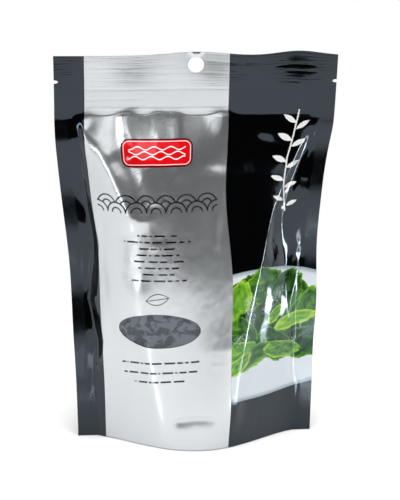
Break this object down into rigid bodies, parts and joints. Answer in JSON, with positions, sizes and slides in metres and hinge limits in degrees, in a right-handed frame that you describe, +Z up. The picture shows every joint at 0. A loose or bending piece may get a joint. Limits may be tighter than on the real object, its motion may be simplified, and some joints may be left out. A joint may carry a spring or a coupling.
{
  "type": "stand-up pouch of dried wakame",
  "caption": "Sealed stand-up zip pouch of dried wakame, silver and black film, with a hang hole, tear notches and an oval clear window.",
  "frame": {"origin": "middle of the base on the surface it stands on", "axes": "+Z up, front panel towards -Y, +X to the right seen from the front"},
  "size_m": [0.1604, 0.0668, 0.2306],
  "materials": {
    "front_laminate": "satin metallised film, silver middle with glossy black sides",
    "back_laminate": "glossy black film",
    "gusset_laminate": "glossy black film",
    "clear_film": "clear glossy film",
    "zip_plastic": "translucent extruded zip",
    "dried_seaweed": "dry, dark green to black, slightly glossy"
  },
  "bodies": {
    "root": {"front_film": "front_laminate", "back_film": "back_laminate", "gusset_film": "gusset_laminate", "window_film": "clear_film", "zip_rib_strip": "zip_plastic", "zip_groove_strip": "zip_plastic", "wakame_heap": "dried_seaweed"}
  },
  "joints": []
}
